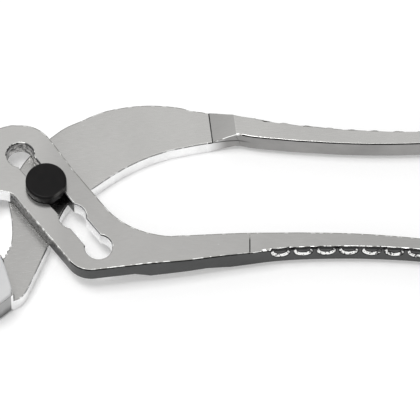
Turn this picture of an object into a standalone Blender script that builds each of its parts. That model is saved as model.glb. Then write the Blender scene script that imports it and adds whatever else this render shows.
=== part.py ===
"""Fitting pliers: two flat levers that cross at a black pivot bolt, with plastic jaw shoes.

The tool lies on its back. X runs along the handles, Y runs from the front lever's
handle to the rear lever's, and Z points at whoever looks at the tool's front face.
The origin is the middle of the pivot bolt's end, flush with the back at Z = 0.

The front lever has a slot of four round seats joined by narrower necks. The bolt turns
with the rear lever, and its flat-sided shank passes a neck only when it is in line with
the slot, so the jaws can be set in four widths.

Lengths are in metres and angles in radians. Outlines are seen from the front.
"""

from math import atan2, cos, pi, radians, sin

import bmesh
import bpy
from mathutils import Matrix, Vector

# Plates, counted from the back
PLATE_THICKNESS = 0.0075
CLEARANCE = 0.0003
GRIP_DEPTH = 0.0096
JAW_CORE_DEPTH = 0.0115
CUT_OVERRUN = 0.002

# Slot in the front lever
SEAT_RADIUS = 0.0056
SEAT_SPACING = 0.018
SEAT_COUNT = 4
PIVOT_SEAT = 1
NECK_WIDTH = 0.0079
SLOT_WALL = 0.0078
CROWN_WALL = 0.0087
WAIST_RADIUS = 0.034
HEEL_RADIUS = 0.011
SLOT_ANGLE = radians(-52.9)

# Pivot bolt, its spring washer and its nut
BOLT_HEAD_RADIUS = 0.00845
BOLT_HEAD_HEIGHT = 0.0041
BOLT_HEAD_BEVEL = 0.0006
BOLT_STEM_RADIUS = 0.0035
WASHER_RING = 0.0014
WASHER_THICKNESS = 0.0006
WASHER_DISH = 0.0002
NUT_ACROSS_FLATS = 0.012
NUT_HEIGHT = 0.0034

# Both handles
HANDLE_REACH = 0.182
FRONT_ROOT_REACH = 0.0251
FRONT_ROOT_DROP = 0.0009
GRIP_WIDTH = 0.0074
GRIP_START = 0.0835
SWELL_LENGTH = 0.010
BEVEL_REACH = 0.0008
BEVEL_DROP = 0.0005
BEVEL_LEAD = 0.0075
POCKET_PITCH = 0.0093
POCKET_WIDTH = 0.008
POCKET_HEIGHT = 0.0062
POCKET_DEPTH = 0.0007
POCKET_FLOOR_SHARE = 0.7
FRONT_FIRST_POCKET = 0.0961
REAR_FIRST_POCKET = 0.0934
POCKET_END_MARGIN = 0.004

# Shank of the front lever: its underside comes down in two steps, and its face slopes down
SHANK_START = 0.0365
SHANK_FULL = 0.043
SHANK_DROP = 0.0029
SHANK_SWELL_END = 0.0755
SWEEP_CLEARANCE = 0.0008

# Plates around the pivot
PLATE_REACH = 0.050
REAR_RAMP_START = 0.0675
REAR_RAMP_LEAN = radians(6.7)

# Jaws: the lower one is placed, and the upper one is where the lower one meets it
JAW_DISTANCE = 0.0366
JAW_BEARING = radians(238.9)
JAW_ANGLE = radians(210)
CLOSING_TURN = radians(-6.5)
CLOSED_GAP = 0.0006
JAW_LENGTH = 0.033
JAW_DEPTH = 0.0205
SHOE_GRIP = 0.006
SHOE_NOSE = 0.003
TOOTH_PITCH = 0.0019
TOOTH_DEPTH = 0.0007

# Countersunk screws, one from the front and one from the back of each shoe
SCREW_RADIUS = 0.002
SCREW_LENGTH = 0.0048
SCREW_HEAD_RADIUS = 0.0035
SCREW_SOCKET_RADIUS = 0.0012
SCREW_SOCKET_DEPTH = 0.001

# Fineness of the meshes
MERGE_DISTANCE = 0.000003
RUN_STEPS = 3
ROUND_SIDES = 40
SMALL_SIDES = 24

# Handle stations: place past the root as shares of the run to the end, width of the grip's
FRONT_HANDLE_SHARES = (
    (0.000, 0.0000, 1.74),
    (0.090, 0.0088, 1.61),
    (0.187, 0.0222, 1.45),
    (0.272, 0.0317, 1.33),
    (0.334, 0.0367, 1.17),
    (0.423, 0.0407, 1.05),
    (0.556, 0.0413, 0.95),
    (0.668, 0.0368, 0.88),
    (0.786, 0.0268, 0.81),
    (0.911, 0.0087, 0.80),
    (1.000, -0.0069, 0.81),
)
REAR_HANDLE_SHARES = (
    (0.000, 0.0000, 2.33),
    (0.061, 0.0007, 1.96),
    (0.155, -0.0091, 1.26),
    (0.212, -0.0191, 1.24),
    (0.268, -0.0271, 1.19),
    (0.365, -0.0387, 1.11),
    (0.512, -0.0513, 1.00),
    (0.635, -0.0561, 0.94),
    (0.765, -0.0563, 0.85),
    (0.902, -0.0496, 0.83),
    (1.000, -0.0377, 0.80),
)

# Points of the plate outlines, and the rear handle's root, as shares of the plates' reach
REAR_ROOT_SHARE = (1.179, 0.627)
FRONT_BACK_SHARES = (
    (-0.84, 0.200), (-0.72, 0.345), (-0.60, 0.440), (-0.48, 0.510), (-0.378, 0.549),
    (-0.296, 0.572),
)
FRONT_THROAT_SHARES = ((-0.27, -0.09), (-0.36, -0.056), (-0.47, -0.070))
REAR_ARC_SHARES = ((-0.32, -0.024), (-0.288, -0.21), (-0.278, -0.35), (-0.286, -0.454))
REAR_OUTER_SHARES = ((-0.18, -0.942), (-0.114, -0.81), (-0.05, -0.652), (0.024, -0.474))
REAR_INNER_SHARES = (
    (0.024, -0.474), (0.100, -0.245), (0.172, -0.098), (0.268, -0.012), (0.386, 0.062),
    (0.524, 0.168), (0.688, 0.276), (0.852, 0.358), (1.016, 0.418),
)
REAR_HUMP_SHARES = (
    (1.098, 0.826), (0.934, 0.846), (0.770, 0.846), (0.606, 0.824), (0.442, 0.782),
    (0.278, 0.702), (0.114, 0.614), (-0.132, 0.380), (-0.222, 0.248), (-0.32, -0.024),
)

# The jaw's back, from the nose to the root, as shares of its length and depth
JAW_BACK_SHARES = (
    (1.0, 0.42), (0.965, 0.57), (0.87, 0.73), (0.66, 0.90), (0.38, 0.995), (0.16, 0.94),
)
SHOE_END_SHARES = ((0.0, 0.0), (0.016, 0.25), (0.060, 0.55), (0.106, 0.825))
SCREW_PLACE_SHARES = (0.45, 0.62)

# Derived heights
FRONT_BACK = PLATE_THICKNESS + CLEARANCE
FRONT_FACE = FRONT_BACK + PLATE_THICKNESS
GRIP_BACK = (FRONT_FACE - GRIP_DEPTH) / 2
GRIP_FACE = GRIP_BACK + GRIP_DEPTH
CORE_BACK = (FRONT_FACE - JAW_CORE_DEPTH) / 2
CORE_FACE = CORE_BACK + JAW_CORE_DEPTH
HEAD_FOOT = FRONT_FACE + CLEARANCE
HEAD_TOP = HEAD_FOOT + BOLT_HEAD_HEIGHT

# Derived plan sizes
SLOT_WAY = Vector((cos(SLOT_ANGLE), sin(SLOT_ANGLE)))
SLOT_SIDE = Vector((-sin(SLOT_ANGLE), cos(SLOT_ANGLE)))
PLATE_HALF_WIDTH = SEAT_RADIUS + SLOT_WALL
SHANK_RADIUS = SEAT_RADIUS - CLEARANCE
SHANK_HALF_FLAT = NECK_WIDTH / 2 - CLEARANCE
JAW_ORIGIN = Vector((cos(JAW_BEARING), sin(JAW_BEARING))) * JAW_DISTANCE

STEEL = (0.46, 0.455, 0.44)
SHOE_GREY = (0.62, 0.62, 0.62)
BLACK = (0.014, 0.014, 0.015)


def new_collection(name):
    collection = bpy.data.collections.get(name) or bpy.data.collections.new(name)
    if name not in bpy.context.scene.collection.children:
        bpy.context.scene.collection.children.link(collection)
    return collection


for old in list(bpy.data.objects):
    bpy.data.objects.remove(old, do_unlink=True)
PARTS = new_collection("fitting_pliers")
CUTTERS = new_collection("cutters")


# Plan geometry

def turned(point, angle):
    """The 2D point turned about the pivot."""
    c, s = cos(angle), sin(angle)
    return Vector((c * point.x - s * point.y, s * point.x + c * point.y))


def scaled(shares, size):
    return [Vector((x * size, y * size)) for x, y in shares]


def smooth_run(points, steps=RUN_STEPS):
    """A smooth open curve through the points, as a list of closer points."""
    spans = [(b - a).length for a, b in zip(points, points[1:])]
    slopes = [(points[1] - points[0]) / spans[0]]
    for i in range(1, len(points) - 1):
        slopes.append((points[i + 1] - points[i - 1]) / (spans[i] + spans[i - 1]))
    slopes.append((points[-1] - points[-2]) / spans[-1])
    run = [points[0].copy()]
    for i, span in enumerate(spans):
        for k in range(1, steps + 1):
            t = k / steps
            rest = 1 - t
            near = points[i] * (1 + 2 * t) + slopes[i] * (span * t)
            far = points[i + 1] * (3 - 2 * t) - slopes[i + 1] * (span * rest)
            run.append(near * rest ** 2 + far * t ** 2)
    return run


def round_corner(before, corner, after, radius, sides=SMALL_SIDES // 2):
    """Points of an arc that rounds the corner between two straight edges."""
    way_in = (corner - before).normalized()
    way_out = (after - corner).normalized()
    turn = atan2(way_in.cross(way_out), way_in.dot(way_out))
    reach = radius * abs(sin(turn / 2) / cos(turn / 2))
    side = Vector((-way_in.y, way_in.x)) * (1 if turn > 0 else -1)
    centre = corner - way_in * reach + side * radius
    start = corner - way_in * reach - centre
    return [centre + turned(start, turn * k / sides) for k in range(sides + 1)]


def arc(centre, radius, start, end, sides):
    angles = [start + (end - start) * k / sides for k in range(sides + 1)]
    return [centre + Vector((cos(a), sin(a))) * radius for a in angles]


def crossing(start, way, other, other_way):
    """Where two straight lines meet."""
    return start + way * ((other - start).cross(other_way) / way.cross(other_way))


def toothed(start, end):
    """A row of teeth on the straight line between two points, cut into its left side."""
    count = max(1, round((end - start).length / TOOTH_PITCH))
    step = (end - start) / count
    valley = Vector((-step.y, step.x)).normalized() * TOOTH_DEPTH
    row = []
    for i in range(count):
        row.append(start + step * i)
        row.append(start + step * (i + 0.5) + valley)
    return row + [end]


class JawFrame:
    """A jaw's own axes: along its grip line to the nose, and back into the jaw."""

    def __init__(self, origin, angle, side):
        self.origin = origin
        self.along = Vector((cos(angle), sin(angle)))
        self.back = Vector((-sin(angle), cos(angle))) * side

    def place(self, along, back):
        return self.origin + self.along * along + self.back * back


LOWER_JAW = JawFrame(JAW_ORIGIN, JAW_ANGLE, 1)
UPPER_ANGLE = JAW_ANGLE + CLOSING_TURN
UPPER_ORIGIN = (turned(JAW_ORIGIN, CLOSING_TURN) - SLOT_WAY * SEAT_SPACING
                - Vector((-sin(UPPER_ANGLE), cos(UPPER_ANGLE))) * CLOSED_GAP)
UPPER_JAW = JawFrame(UPPER_ORIGIN, UPPER_ANGLE, -1)


def jaw_back(jaw):
    """The jaw's back edge, from the nose to the root, shared by metal and shoe."""
    return smooth_run([jaw.place(a * JAW_LENGTH, b * JAW_DEPTH) for a, b in JAW_BACK_SHARES])


def jaw_core(jaw):
    """The metal inside the shoe, from the shoe's open end round to the jaw's root."""
    inner = SHOE_GRIP + CLEARANCE
    nose = JAW_LENGTH - SHOE_NOSE - CLEARANCE
    back = jaw_back(jaw)
    past_nose = [p for p in back if (p - jaw.origin).dot(jaw.along) > nose]
    kept = back[len(past_nose):]
    edge = crossing(kept[0], past_nose[-1] - kept[0], jaw.place(nose, 0), jaw.back)
    return [jaw.place(-CLEARANCE, CLEARANCE), jaw.place(-CLEARANCE, inner),
            jaw.place(nose, inner), edge] + kept


def handle_edges(shares, root):
    """Upper and lower edge of a handle, from its root to its end."""
    run = HANDLE_REACH - root.x
    upper, lower = [], []
    for x, y, width in shares:
        middle = root + Vector((x, y)) * run
        half = Vector((0, width * GRIP_WIDTH / 2))
        upper.append(middle + half)
        lower.append(middle - half)
    return smooth_run(upper), smooth_run(lower)


def front_handle_edges():
    root = seat_place(SEAT_COUNT - 1) + Vector((FRONT_ROOT_REACH, -FRONT_ROOT_DROP))
    return handle_edges(FRONT_HANDLE_SHARES, root)


def rear_root():
    return Vector(REAR_ROOT_SHARE) * PLATE_REACH


def rear_handle_edges():
    return handle_edges(REAR_HANDLE_SHARES, rear_root())


def edge_at(edge, reach):
    """Point and slope of a handle's edge at a distance along X."""
    for a, b in zip(edge, edge[1:]):
        if a.x <= reach <= b.x:
            return a.lerp(b, (reach - a.x) / (b.x - a.x)), atan2(b.y - a.y, b.x - a.x)
    raise ValueError("reach is past the handle")


# Solids

def extruded(name, outline, low, high):
    """A closed mesh between two heights, filled from a flat outline."""
    curve = bpy.data.curves.new(name, "CURVE")
    curve.dimensions = "2D"
    curve.fill_mode = "BOTH"
    curve.extrude = (high - low) / 2
    spline = curve.splines.new("POLY")
    spline.points.add(len(outline) - 1)
    for point, (x, y) in zip(spline.points, outline):
        point.co = (x, y, 0, 1)
    spline.use_cyclic_u = True
    drawn = bpy.data.objects.new(name + "_curve", curve)
    CUTTERS.objects.link(drawn)
    bpy.context.view_layer.update()
    depsgraph = bpy.context.evaluated_depsgraph_get()
    mesh = bpy.data.meshes.new_from_object(drawn.evaluated_get(depsgraph))
    mesh.name = name
    bpy.data.objects.remove(drawn, do_unlink=True)
    bpy.data.curves.remove(curve)
    weld(mesh)
    mesh.transform(Matrix.Translation((0, 0, (low + high) / 2)))
    return bpy.data.objects.new(name, mesh)


def weld(mesh):
    shape = bmesh.new()
    shape.from_mesh(mesh)
    bmesh.ops.remove_doubles(shape, verts=shape.verts, dist=MERGE_DISTANCE)
    bmesh.ops.recalc_face_normals(shape, faces=shape.faces)
    shape.to_mesh(mesh)
    shape.free()


def side_profile(name, outline, low, high):
    """A prism whose outline lies in X and Z, between two places on Y."""
    prism = extruded(name, outline, -high, -low)
    prism.data.transform(Matrix.Rotation(pi / 2, 4, "X"))
    return prism


def turned_solid(name, profile, sides=ROUND_SIDES):
    """A round solid: the profile, radius and height, runs down its outer side."""
    mesh = bpy.data.meshes.new(name)
    count = len(profile)
    mesh.from_pydata([(r, 0, z) for r, z in profile], [(i, i + 1) for i in range(count - 1)], [])
    solid = bpy.data.objects.new(name, mesh)
    screw = solid.modifiers.new("turn", "SCREW")
    screw.steps = sides
    screw.render_steps = sides
    screw.use_merge_vertices = True
    screw.merge_threshold = MERGE_DISTANCE
    return solid


def cylinder(name, radius, low, high, sides=ROUND_SIDES):
    return turned_solid(name, [(0, high), (radius, high), (radius, low), (0, low)], sides)


def as_cutter(tool):
    CUTTERS.objects.link(tool)
    tool.hide_render = True
    tool.display_type = "WIRE"
    return tool


def combine(target, tool, operation):
    """Cut the tool from the target, or join it, with a Boolean that stays."""
    as_cutter(tool)
    boolean = target.modifiers.new(tool.name, "BOOLEAN")
    boolean.operation = operation
    boolean.solver = "EXACT"
    boolean.object = tool
    return target


def cut(target, tool):
    return combine(target, tool, "DIFFERENCE")


def join(target, tool):
    return combine(target, tool, "UNION")


def finish(part, colour, roughness, metallic):
    """Put the part in its collection with its own material."""
    PARTS.objects.link(part)
    material = bpy.data.materials.new(part.name)
    material.use_nodes = True
    shader = material.node_tree.nodes["Principled BSDF"]
    shader.inputs["Base Color"].default_value = (*colour, 1)
    shader.inputs["Roughness"].default_value = roughness
    shader.inputs["Metallic"].default_value = metallic
    part.data.materials.append(material)
    part.data.shade_smooth()
    part.data.set_sharp_from_angle(angle=radians(30))
    return part


# Slot and pivot

def seat_place(index):
    return SLOT_WAY * (SEAT_SPACING * (index - PIVOT_SEAT))


def slot_outline():
    """Round seats joined by necks, as one outline round the whole slot."""
    half_neck = NECK_WIDTH / 2
    mouth = atan2(half_neck, (SEAT_RADIUS ** 2 - half_neck ** 2) ** 0.5)
    last = SEAT_COUNT - 1
    sides = SMALL_SIDES // 2
    outline = []
    for i in range(SEAT_COUNT):
        start = SLOT_ANGLE + (pi if i == 0 else pi + mouth)
        end = SLOT_ANGLE + (2 * pi if i == last else 2 * pi - mouth)
        outline += arc(seat_place(i), SEAT_RADIUS, start, end, sides)
    for i in reversed(range(SEAT_COUNT)):
        start = SLOT_ANGLE + (0 if i == last else mouth)
        end = SLOT_ANGLE + (pi if i == 0 else pi - mouth)
        skip = 1 if i == last else 0
        outline += arc(seat_place(i), SEAT_RADIUS, start, end, sides)[skip:]
    return outline[:-1]


def shank_outline():
    """The bolt's shank: a circle with two flats that face the slot's sides."""
    reach = atan2(SHANK_HALF_FLAT, (SHANK_RADIUS ** 2 - SHANK_HALF_FLAT ** 2) ** 0.5)
    sides = SMALL_SIDES // 2
    here = Vector((0, 0))
    front = arc(here, SHANK_RADIUS, SLOT_ANGLE - reach, SLOT_ANGLE + reach, sides)
    rear = arc(here, SHANK_RADIUS, SLOT_ANGLE + pi - reach, SLOT_ANGLE + pi + reach, sides)
    return front + rear


def make_pivot_bolt():
    recess_radius = SEAT_RADIUS + WASHER_RING + CLEARANCE
    recess_top = HEAD_FOOT + WASHER_THICKNESS + WASHER_DISH + CLEARANCE
    bolt = turned_solid("pivot_bolt", [
        (0, HEAD_TOP),
        (BOLT_HEAD_RADIUS - BOLT_HEAD_BEVEL, HEAD_TOP),
        (BOLT_HEAD_RADIUS, HEAD_TOP - BOLT_HEAD_BEVEL),
        (BOLT_HEAD_RADIUS, HEAD_FOOT),
        (recess_radius, HEAD_FOOT),
        (recess_radius, recess_top),
        (0, recess_top),
    ])
    into_head = (recess_top + HEAD_TOP) / 2
    join(bolt, extruded("bolt_shank", shank_outline(), FRONT_BACK, into_head))
    into_shank = (FRONT_BACK + FRONT_FACE) / 2
    join(bolt, cylinder("bolt_stem", BOLT_STEM_RADIUS, 0, into_shank))
    return finish(bolt, BLACK, 0.4, 0.0)


def make_spring_washer():
    inner = SEAT_RADIUS
    outer = inner + WASHER_RING
    top = HEAD_FOOT + WASHER_THICKNESS
    washer = turned_solid("spring_washer", [
        (inner, HEAD_FOOT + WASHER_DISH),
        (inner, top + WASHER_DISH),
        (outer, top),
        (outer, HEAD_FOOT),
        (inner, HEAD_FOOT + WASHER_DISH),
    ])
    return finish(washer, STEEL, 0.35, 1.0)


def make_pivot_nut():
    corner_radius = NUT_ACROSS_FLATS / 2 / cos(pi / 6)
    here = Vector((0, 0))
    hexagon = arc(here, corner_radius, 0, 2 * pi, 6)[:-1]
    nut = extruded("pivot_nut", hexagon, 0, NUT_HEIGHT)
    bore = BOLT_STEM_RADIUS + CLEARANCE
    cut(nut, cylinder("nut_bore", bore, -CUT_OVERRUN, NUT_HEIGHT + CUT_OVERRUN))
    return finish(nut, BLACK, 0.45, 1.0)


# Jaw shoes and their screws

def shoe_end(jaw):
    """The shoe's open end, seen from the front, from the grip line to the back."""
    return smooth_run([jaw.place(a * JAW_LENGTH, b * JAW_DEPTH) for a, b in SHOE_END_SHARES])


def shoe_outline(jaw):
    """The cheek's outline: grip line, round nose, back and open end."""
    back = jaw_back(jaw)
    tip = round_corner(jaw.place(0, 0), jaw.place(JAW_LENGTH, 0), back[0], SHOE_NOSE)
    return tip + back + shoe_end(jaw)[::-1]


def grown(outline, amount):
    """The outline moved outward, or inward by a negative amount."""
    area = sum(a.cross(b) for a, b in zip(outline, outline[1:] + outline[:1]))
    sign = 1 if area > 0 else -1
    moved = []
    for i, here in enumerate(outline):
        way_in = (here - outline[i - 1]).normalized()
        way_out = (outline[(i + 1) % len(outline)] - here).normalized()
        middle = (way_in + way_out).normalized()
        outward = Vector((middle.y, -middle.x)) * sign
        moved.append(here + outward * (amount / max(middle.dot(way_in), 0.5)))
    return moved


def shoe_pocket(jaw):
    """Room for the metal: everything behind the grip and short of the nose."""
    past = JAW_DEPTH + CUT_OVERRUN
    nose = JAW_LENGTH - SHOE_NOSE
    start = -CUT_OVERRUN
    return [jaw.place(start, SHOE_GRIP), jaw.place(nose, SHOE_GRIP),
            jaw.place(nose, past), jaw.place(start, past)]


def screw_place(jaw):
    along, depth = SCREW_PLACE_SHARES
    return jaw.place(along * JAW_LENGTH, depth * JAW_DEPTH)


def screw_profile(grow):
    """A countersunk screw that points down from the plane Z = 0, grown for its hole."""
    cone = SCREW_HEAD_RADIUS - SCREW_RADIUS
    lift = CUT_OVERRUN if grow else 0
    return [(0, lift), (SCREW_HEAD_RADIUS + grow + lift, lift),
            (SCREW_RADIUS + grow, -cone), (SCREW_RADIUS + grow, -SCREW_LENGTH - grow),
            (0, -SCREW_LENGTH - grow)]


def put_screw(solid, jaw, from_front):
    place = screw_place(jaw)
    solid.location = (place.x, place.y, FRONT_FACE if from_front else 0)
    solid.rotation_euler = (0 if from_front else pi, 0, 0)
    return solid


def screw_holes(target, jaw):
    for from_front in (True, False):
        side = "front" if from_front else "back"
        hole = turned_solid(target.name + "_hole_" + side, screw_profile(CLEARANCE), SMALL_SIDES)
        cut(target, put_screw(hole, jaw, from_front))


def make_shoe(name, jaw):
    shoe = extruded(name, shoe_outline(jaw), 0, FRONT_FACE)
    low, high = CORE_BACK - CLEARANCE, CORE_FACE + CLEARANCE
    cut(shoe, extruded(name + "_pocket", shoe_pocket(jaw), low, high))
    screw_holes(shoe, jaw)
    return finish(shoe, SHOE_GREY, 0.45, 0.0)


def make_shoe_screw(name, jaw, from_front):
    screw = turned_solid(name, screw_profile(0), SMALL_SIDES)
    here = Vector((0, 0))
    hexagon = arc(here, SCREW_SOCKET_RADIUS, 0, 2 * pi, 6)[:-1]
    socket = extruded(name + "_socket", hexagon, -SCREW_SOCKET_DEPTH, CUT_OVERRUN)
    cut(screw, put_screw(socket, jaw, from_front))
    return finish(put_screw(screw, jaw, from_front), STEEL, 0.35, 1.0)


# Levers

def pocket_outline():
    """A round-bottomed pocket in X and Z, open at the front of the grip."""
    half = POCKET_WIDTH / 2
    bottom = GRIP_FACE - POCKET_HEIGHT + half
    top = GRIP_FACE + CUT_OVERRUN
    bow = arc(Vector((0, bottom)), half, pi, 2 * pi, SMALL_SIDES // 2)
    return [Vector((-half, top))] + bow + [Vector((half, top))]


def pocket_cutter(name, outward):
    """A cutter for one pocket: wide at the wall, with sides that slope in to its floor."""
    low, high = sorted((-outward * POCKET_DEPTH, outward * CLEARANCE))
    pocket = side_profile(name, pocket_outline(), low, high)
    for vertex in pocket.data.vertices:
        depth_share = -outward * vertex.co.y / POCKET_DEPTH
        size_share = 1 - (1 - POCKET_FLOOR_SHARE) * depth_share
        vertex.co.x *= size_share
        vertex.co.z = GRIP_FACE + (vertex.co.z - GRIP_FACE) * size_share
    return pocket


def bevel_cutter(name, edge, start, outward):
    """A cutter that slopes from a grip's face down and out to its outer wall."""
    line = [edge_at(edge, start)[0]] + [p for p in edge if p.x > start]
    line.append(line[-1] + (line[-1] - line[-2]).normalized() * GRIP_WIDTH)
    beyond = Vector((0, outward * BEVEL_REACH * 3))
    outline = line + [p + beyond for p in reversed(line)]
    bevel = extruded(name, outline, GRIP_FACE - BEVEL_DROP * 2, GRIP_FACE + BEVEL_DROP)
    for vertex in bevel.data.vertices:
        rise_share = (vertex.co.z - GRIP_FACE + BEVEL_DROP) / BEVEL_DROP
        vertex.co.y -= outward * BEVEL_REACH * rise_share
    return bevel


def cut_pockets(lever, edge, first, outward):
    """A bevel along a handle's outer edge, and a row of shallow pockets in its wall."""
    cut(lever, bevel_cutter(lever.name + "_bevel", edge, first - BEVEL_LEAD, outward))
    room = HANDLE_REACH - POCKET_END_MARGIN - POCKET_WIDTH / 2 - first
    for i in range(int(room // POCKET_PITCH) + 1):
        place, slope = edge_at(edge, first + i * POCKET_PITCH)
        pocket = pocket_cutter(f"{lever.name}_pocket_{i + 1}", outward)
        pocket.location = (place.x, place.y, 0)
        pocket.rotation_euler = (0, 0, slope)
        cut(lever, pocket)


def handle_end(upper, lower):
    """A round end that joins the last points of the two edges."""
    middle = (upper[-1] + lower[-1]) / 2
    radius = (upper[-1] - lower[-1]).length / 2
    return arc(middle, radius, pi / 2, -pi / 2, SMALL_SIDES // 2)[1:-1]


def front_outline():
    upper, lower = front_handle_edges()
    half = SLOT_SIDE * PLATE_HALF_WIDTH
    waist = crossing(half, SLOT_WAY, upper[0], Vector((1, 0)))
    heel = crossing(-half, SLOT_WAY, lower[0], lower[1] - lower[0])
    lean = SLOT_ANGLE + pi / 2
    crown = arc(seat_place(0), SEAT_RADIUS + CROWN_WALL, lean + pi / 3, lean, 3)
    core = jaw_core(UPPER_JAW)
    back = scaled(FRONT_BACK_SHARES, PLATE_REACH)
    throat = scaled(FRONT_THROAT_SHARES, PLATE_REACH)
    outline = core[:-1] + smooth_run([core[-1]] + back + crown + [seat_place(1) + half])
    outline += round_corner(half, waist, upper[0], WAIST_RADIUS)
    outline += [p for p in upper if p.x > outline[-1].x]
    outline += handle_end(upper, lower) + lower[::-1]
    outline += round_corner(lower[0], heel, -half, HEEL_RADIUS)
    outline += smooth_run([seat_place(1) - half] + throat)
    return outline + toothed(throat[-1], core[0])[1:-1]


def rear_inner_edge():
    return smooth_run(scaled(REAR_INNER_SHARES, PLATE_REACH))


def rear_sweep():
    """What the rear plate covers with the tool closed in its last seat, and above."""
    shift = seat_place(SEAT_COUNT - 1) + SLOT_WAY * SWEEP_CLEARANCE
    edge = [turned(p, CLOSING_TURN) + shift for p in rear_inner_edge()]
    return edge + [Vector((edge[-1].x, PLATE_REACH)), Vector((edge[0].x, PLATE_REACH))]


def rear_outline():
    upper, lower = rear_handle_edges()
    inner = rear_inner_edge()
    hump = smooth_run([upper[0]] + scaled(REAR_HUMP_SHARES, PLATE_REACH))
    throat = smooth_run(scaled(REAR_ARC_SHARES, PLATE_REACH))
    core = jaw_core(LOWER_JAW)
    outline = throat + toothed(throat[-1], core[0])[1:] + core[1:-1]
    outline += smooth_run([core[-1]] + scaled(REAR_OUTER_SHARES, PLATE_REACH))
    outline += inner[1:] + smooth_run([inner[-1], lower[0]])[1:] + lower[1:] + handle_end(upper, lower)[::-1]
    return outline + upper[:0:-1] + hump[:-1]


def make_front_lever():
    upper, lower = front_handle_edges()
    lever = extruded("front_lever", front_outline(), CORE_BACK, FRONT_FACE)
    far = HANDLE_REACH + GRIP_WIDTH + CUT_OVERRUN
    below = CORE_BACK - CUT_OVERRUN
    shank_back = FRONT_BACK - SHANK_DROP
    head_step = max(UPPER_JAW.place(-CLEARANCE, 0).x, UPPER_JAW.place(0, JAW_DEPTH).x)
    cut(lever, side_profile("front_underside", (
        (head_step, below), (head_step, FRONT_BACK), (SHANK_START, FRONT_BACK),
        (SHANK_FULL, shank_back), (SHANK_SWELL_END - SWELL_LENGTH, shank_back),
        (SHANK_SWELL_END, GRIP_BACK), (far, GRIP_BACK), (far, below)),
        -PLATE_REACH, PLATE_REACH))
    cut(lever, extruded("front_rear_sweep", rear_sweep(), below, FRONT_BACK))
    over = FRONT_FACE + CUT_OVERRUN
    run_in = (GRIP_START - SHANK_FULL) * CUT_OVERRUN / (FRONT_FACE - GRIP_FACE)
    cut(lever, side_profile("front_grip_top", (
        (SHANK_FULL - run_in, over), (GRIP_START, GRIP_FACE), (far, GRIP_FACE), (far, over)),
        -PLATE_REACH, PLATE_REACH))
    cheek = grown(shoe_outline(UPPER_JAW), CLEARANCE)
    cut(lever, extruded("front_cheek_seat", cheek, CORE_FACE, over))
    cut(lever, extruded("front_slot", slot_outline(), 0, over))
    screw_holes(lever, UPPER_JAW)
    cut_pockets(lever, lower, FRONT_FIRST_POCKET, -1)
    return finish(lever, STEEL, 0.3, 1.0)


def make_rear_lever():
    upper, lower = rear_handle_edges()
    lever = extruded("rear_lever", rear_outline(), 0, CORE_FACE)
    far = HANDLE_REACH + GRIP_WIDTH + CUT_OVERRUN
    over = CORE_FACE + CUT_OVERRUN
    ramp_end = REAR_RAMP_START + SWELL_LENGTH
    back_run_out = SWELL_LENGTH * CUT_OVERRUN / GRIP_BACK
    cheek = grown(shoe_outline(LOWER_JAW), CLEARANCE)
    root = max(place.x for place in cheek) + CLEARANCE
    plate_end = REAR_RAMP_START - SWELL_LENGTH / 2
    cut(lever, side_profile("rear_face", (
        (root, PLATE_THICKNESS), (plate_end, PLATE_THICKNESS), (plate_end, over),
        (root, over)), -2 * PLATE_REACH, PLATE_REACH))
    ramp = side_profile("rear_ramp", (
        (-SWELL_LENGTH, PLATE_THICKNESS), (0, PLATE_THICKNESS), (SWELL_LENGTH, GRIP_FACE),
        (far, GRIP_FACE), (far, over), (-SWELL_LENGTH, over)), -PLATE_REACH, PLATE_REACH)
    ramp.location = (REAR_RAMP_START, rear_root().y, 0)
    ramp.rotation_euler = (0, 0, REAR_RAMP_LEAN)
    cut(lever, ramp)
    cut(lever, side_profile("rear_grip_back", (
        (REAR_RAMP_START - back_run_out, -CUT_OVERRUN), (far, -CUT_OVERRUN),
        (far, GRIP_BACK), (ramp_end, GRIP_BACK)), -PLATE_REACH, PLATE_REACH))
    cut(lever, extruded("rear_cheek_seat", cheek, -CUT_OVERRUN, CORE_BACK))
    step = [p - LOWER_JAW.along * (2 * CLEARANCE) for p in shoe_end(LOWER_JAW)]
    step.insert(0, step[0] - LOWER_JAW.back * CUT_OVERRUN)
    step.append(step[-1] - Vector((0, JAW_DEPTH)))
    right = root + CUT_OVERRUN
    beside = step + [Vector((right, step[-1].y)), Vector((right, PLATE_REACH)),
                     Vector((-PLATE_REACH, PLATE_REACH)), Vector((-PLATE_REACH, step[0].y))]
    cut(lever, extruded("rear_jaw_step", beside, PLATE_THICKNESS, over))
    stem_hole = BOLT_STEM_RADIUS + CLEARANCE
    cut(lever, cylinder("stem_hole", stem_hole, -CUT_OVERRUN, over))
    recess = NUT_ACROSS_FLATS / 2 / cos(pi / 6) + CLEARANCE
    cut(lever, cylinder("nut_recess", recess, -CUT_OVERRUN, NUT_HEIGHT + CLEARANCE))
    screw_holes(lever, LOWER_JAW)
    cut_pockets(lever, upper, REAR_FIRST_POCKET, 1)
    return finish(lever, STEEL, 0.3, 1.0)


make_front_lever()
make_rear_lever()
make_pivot_bolt()
make_spring_washer()
make_pivot_nut()
make_shoe("upper_jaw_shoe", UPPER_JAW)
make_shoe("lower_jaw_shoe", LOWER_JAW)
make_shoe_screw("upper_shoe_front_screw", UPPER_JAW, True)
make_shoe_screw("upper_shoe_back_screw", UPPER_JAW, False)
make_shoe_screw("lower_shoe_front_screw", LOWER_JAW, True)
make_shoe_screw("lower_shoe_back_screw", LOWER_JAW, False)
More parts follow.
